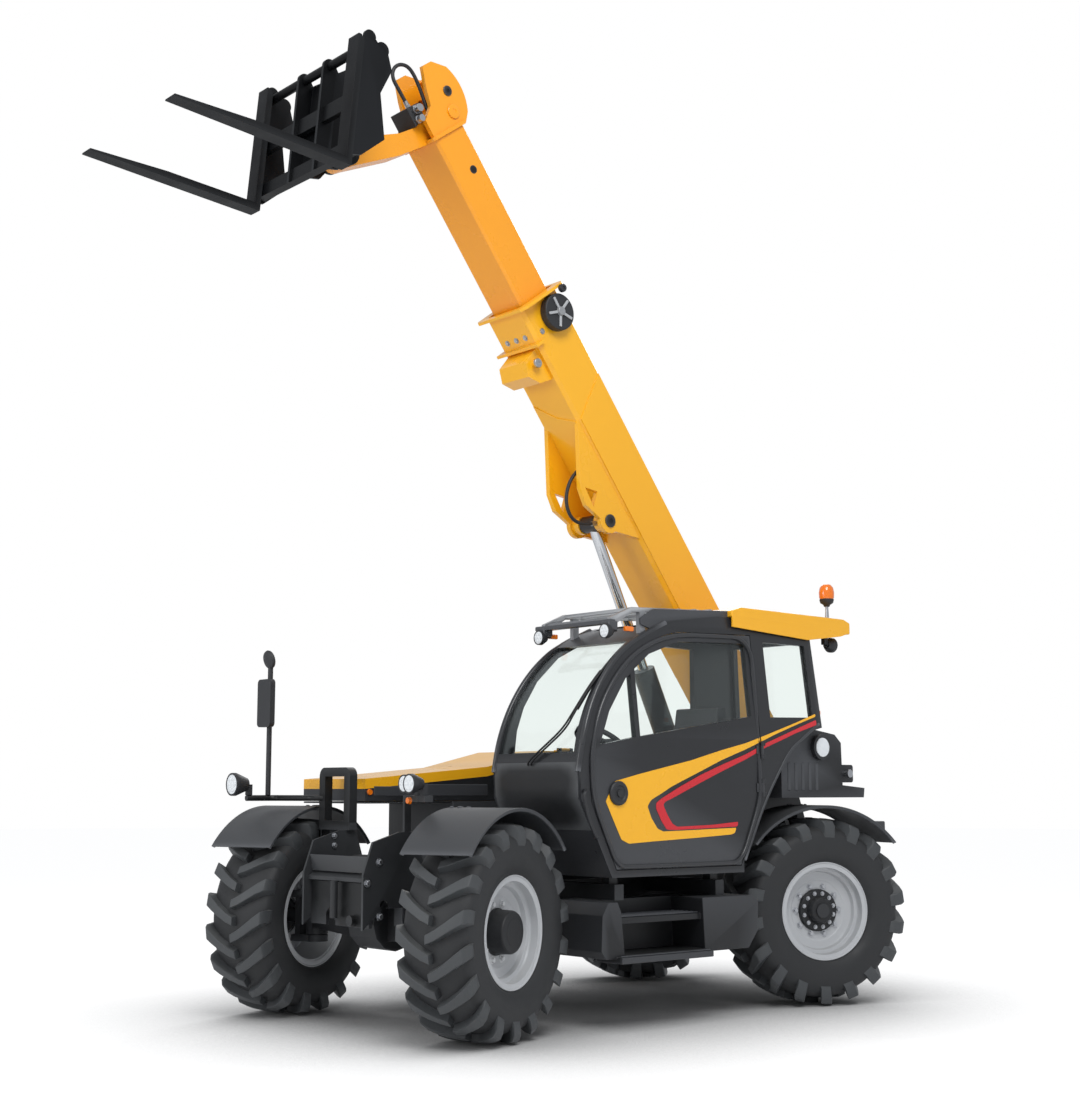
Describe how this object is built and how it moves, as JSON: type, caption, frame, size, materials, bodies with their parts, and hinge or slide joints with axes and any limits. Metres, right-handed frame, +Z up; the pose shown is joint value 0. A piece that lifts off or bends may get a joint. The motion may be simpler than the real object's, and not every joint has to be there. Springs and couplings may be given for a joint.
{
  "type": "telescopic handler",
  "caption": "Four-wheel telescopic handler with a side cab, a raised telescopic boom and a pallet fork carriage.",
  "frame": {"origin": "on the ground under the middle of the machine's length and width, boom raised as parked", "axes": "+X forward towards the forks, +Y to the machine's left (cab side), +Z up"},
  "size_m": [6.0065, 2.8688, 6.5197],
  "materials": {
    "frame_black": "satin black paint",
    "boom_yellow": "gloss yellow paint",
    "boom_orange": "gloss orange-yellow paint",
    "rod_chrome": "polished",
    "pad_rubber": "matte",
    "hose_rubber": "matte",
    "guard_grey": "light grey paint",
    "lamp_lens": "clear lens",
    "beacon_amber": "amber",
    "seat_vinyl": "black",
    "window_glass": "tinted",
    "knuckle_black": "satin black paint",
    "fender_grey": "dark grey",
    "tyre_rubber": "matte",
    "rim_silver": "silver-grey paint"
  },
  "bodies": {
    "chassis": {"chassis_frame": "frame_black", "nose_plates": "frame_black", "nose_crossmember": "frame_black", "nose_lip": "frame_black", "boom_towers": "frame_black", "boom_rest": "pad_rubber", "front_axle": "frame_black", "rear_axle": "frame_black", "rear_counterweight": "frame_black", "rear_body": "boom_yellow", "engine_block": "frame_black", "side_body": "frame_black", "front_guard": "frame_black", "cab_shell": "frame_black", "cab_glass": "window_glass", "cab_roof": "boom_yellow", "roof_grille": "guard_grey", "seat_base": "frame_black", "seat_cushion": "seat_vinyl", "steering_console": "frame_black", "step_box": "frame_black", "work_lamps": "lamp_lens", "beacon": "beacon_amber", "mirror": "frame_black"},
    "door": {"cab_door": "frame_black", "door_glass": "window_glass"},
    "hood": {"engine_hood": "boom_yellow"},
    "front_left_steer": {"front_left_knuckle": "knuckle_black", "front_left_fender": "fender_grey"},
    "front_left_wheel": {"front_left_tyre": "tyre_rubber", "front_left_rim": "rim_silver"},
    "front_right_steer": {"front_right_knuckle": "knuckle_black", "front_right_fender": "fender_grey"},
    "front_right_wheel": {"front_right_tyre": "tyre_rubber", "front_right_rim": "rim_silver"},
    "rear_left_steer": {"rear_left_knuckle": "knuckle_black", "rear_left_fender": "fender_grey"},
    "rear_left_wheel": {"rear_left_tyre": "tyre_rubber", "rear_left_rim": "rim_silver"},
    "rear_right_steer": {"rear_right_knuckle": "knuckle_black", "rear_right_fender": "fender_grey"},
    "rear_right_wheel": {"rear_right_tyre": "tyre_rubber", "rear_right_rim": "rim_silver"},
    "boom": {"boom_outer": "boom_yellow", "hose_reel": "frame_black", "ear_hose": "hose_rubber"},
    "boom_slide": {"boom_inner": "boom_orange", "boom_head": "boom_orange", "head_valve": "frame_black", "head_hose": "hose_rubber"},
    "carriage": {"quick_hitch": "frame_black", "fork_carriage": "frame_black", "forks": "frame_black"},
    "lift_barrel": {"lift_barrel": "frame_black"},
    "lift_rod": {"lift_rod": "rod_chrome"}
  },
  "joints": [
    {"name": "front_left_turn", "type": "hinge", "parent": "chassis", "child": "front_left_steer", "pos_m": [1.02, 0.78, 0.655], "axis": [0, 0, 1], "range_deg": [-55, 15]},
    {"name": "front_left_spin", "type": "hinge", "parent": "front_left_steer", "child": "front_left_wheel", "pos_m": [0.94647, 0.98203, 0.655], "axis": [-0.342, 0.9397, 0], "continuous": true},
    {"name": "front_right_turn", "type": "hinge", "parent": "chassis", "child": "front_right_steer", "pos_m": [1.02, -0.78, 0.655], "axis": [0, 0, 1], "range_deg": [-55, 15]},
    {"name": "front_right_spin", "type": "hinge", "parent": "front_right_steer", "child": "front_right_wheel", "pos_m": [1.09353, -0.98203, 0.655], "axis": [-0.342, 0.9397, 0], "continuous": true},
    {"name": "rear_left_turn", "type": "hinge", "parent": "chassis", "child": "rear_left_steer", "pos_m": [-2.11, 0.78, 0.655], "axis": [0, 0, -1], "range_deg": [-55, 15]},
    {"name": "rear_left_spin", "type": "hinge", "parent": "rear_left_steer", "child": "rear_left_wheel", "pos_m": [-2.03647, 0.98203, 0.655], "axis": [0.342, 0.9397, 0], "continuous": true},
    {"name": "rear_right_turn", "type": "hinge", "parent": "chassis", "child": "rear_right_steer", "pos_m": [-2.11, -0.78, 0.655], "axis": [0, 0, -1], "range_deg": [-55, 15]},
    {"name": "rear_right_spin", "type": "hinge", "parent": "rear_right_steer", "child": "rear_right_wheel", "pos_m": [-2.18353, -0.98203, 0.655], "axis": [0.342, 0.9397, 0], "continuous": true},
    {"name": "boom_lift", "type": "hinge", "parent": "chassis", "child": "boom", "pos_m": [-2.445, 0, 1.92], "axis": [0, -1, 0], "range_deg": [-62.8, 13.7]},
    {"name": "telescope", "type": "slide", "parent": "boom", "child": "boom_slide", "axis": [0.5976, 0, 0.8018], "range_m": [-0.85, 1.5]},
    {"name": "fork_tilt", "type": "hinge", "parent": "boom_slide", "child": "carriage", "pos_m": [1.45975, 0, 5.71959], "axis": [0, 1, 0], "range_deg": [-68, 49]},
    {"name": "lift_barrel_swing", "type": "hinge", "parent": "chassis", "child": "lift_barrel", "pos_m": [-1.945, 0, 1.1], "axis": [0, -1, 0], "range_deg": [-58.1, 12.7]},
    {"name": "lift_rod_slide", "type": "slide", "parent": "lift_barrel", "child": "lift_rod", "axis": [0.4307, 0, 0.9025], "range_m": [-1, 0.22]},
    {"name": "door_swing", "type": "hinge", "parent": "chassis", "child": "door", "pos_m": [-1.348, 1.164, 1.65], "axis": [0, 0, 1], "range_deg": [0, 88]},
    {"name": "hood_lift", "type": "hinge", "parent": "chassis", "child": "hood", "pos_m": [-1.17, -0.345, 1.802], "axis": [-1, 0, 0], "range_deg": [0, 55]}
  ],
  "couplings": [
    {"joint": "front_right_turn", "follows": "front_left_turn", "ratio": 1},
    {"joint": "rear_right_turn", "follows": "rear_left_turn", "ratio": 1},
    {"joint": "lift_barrel_swing", "follows": "boom_lift", "ratio": 0.9239},
    {"joint": "lift_rod_slide", "follows": "boom_lift", "m_per_rad": 0.9092}
  ]
}
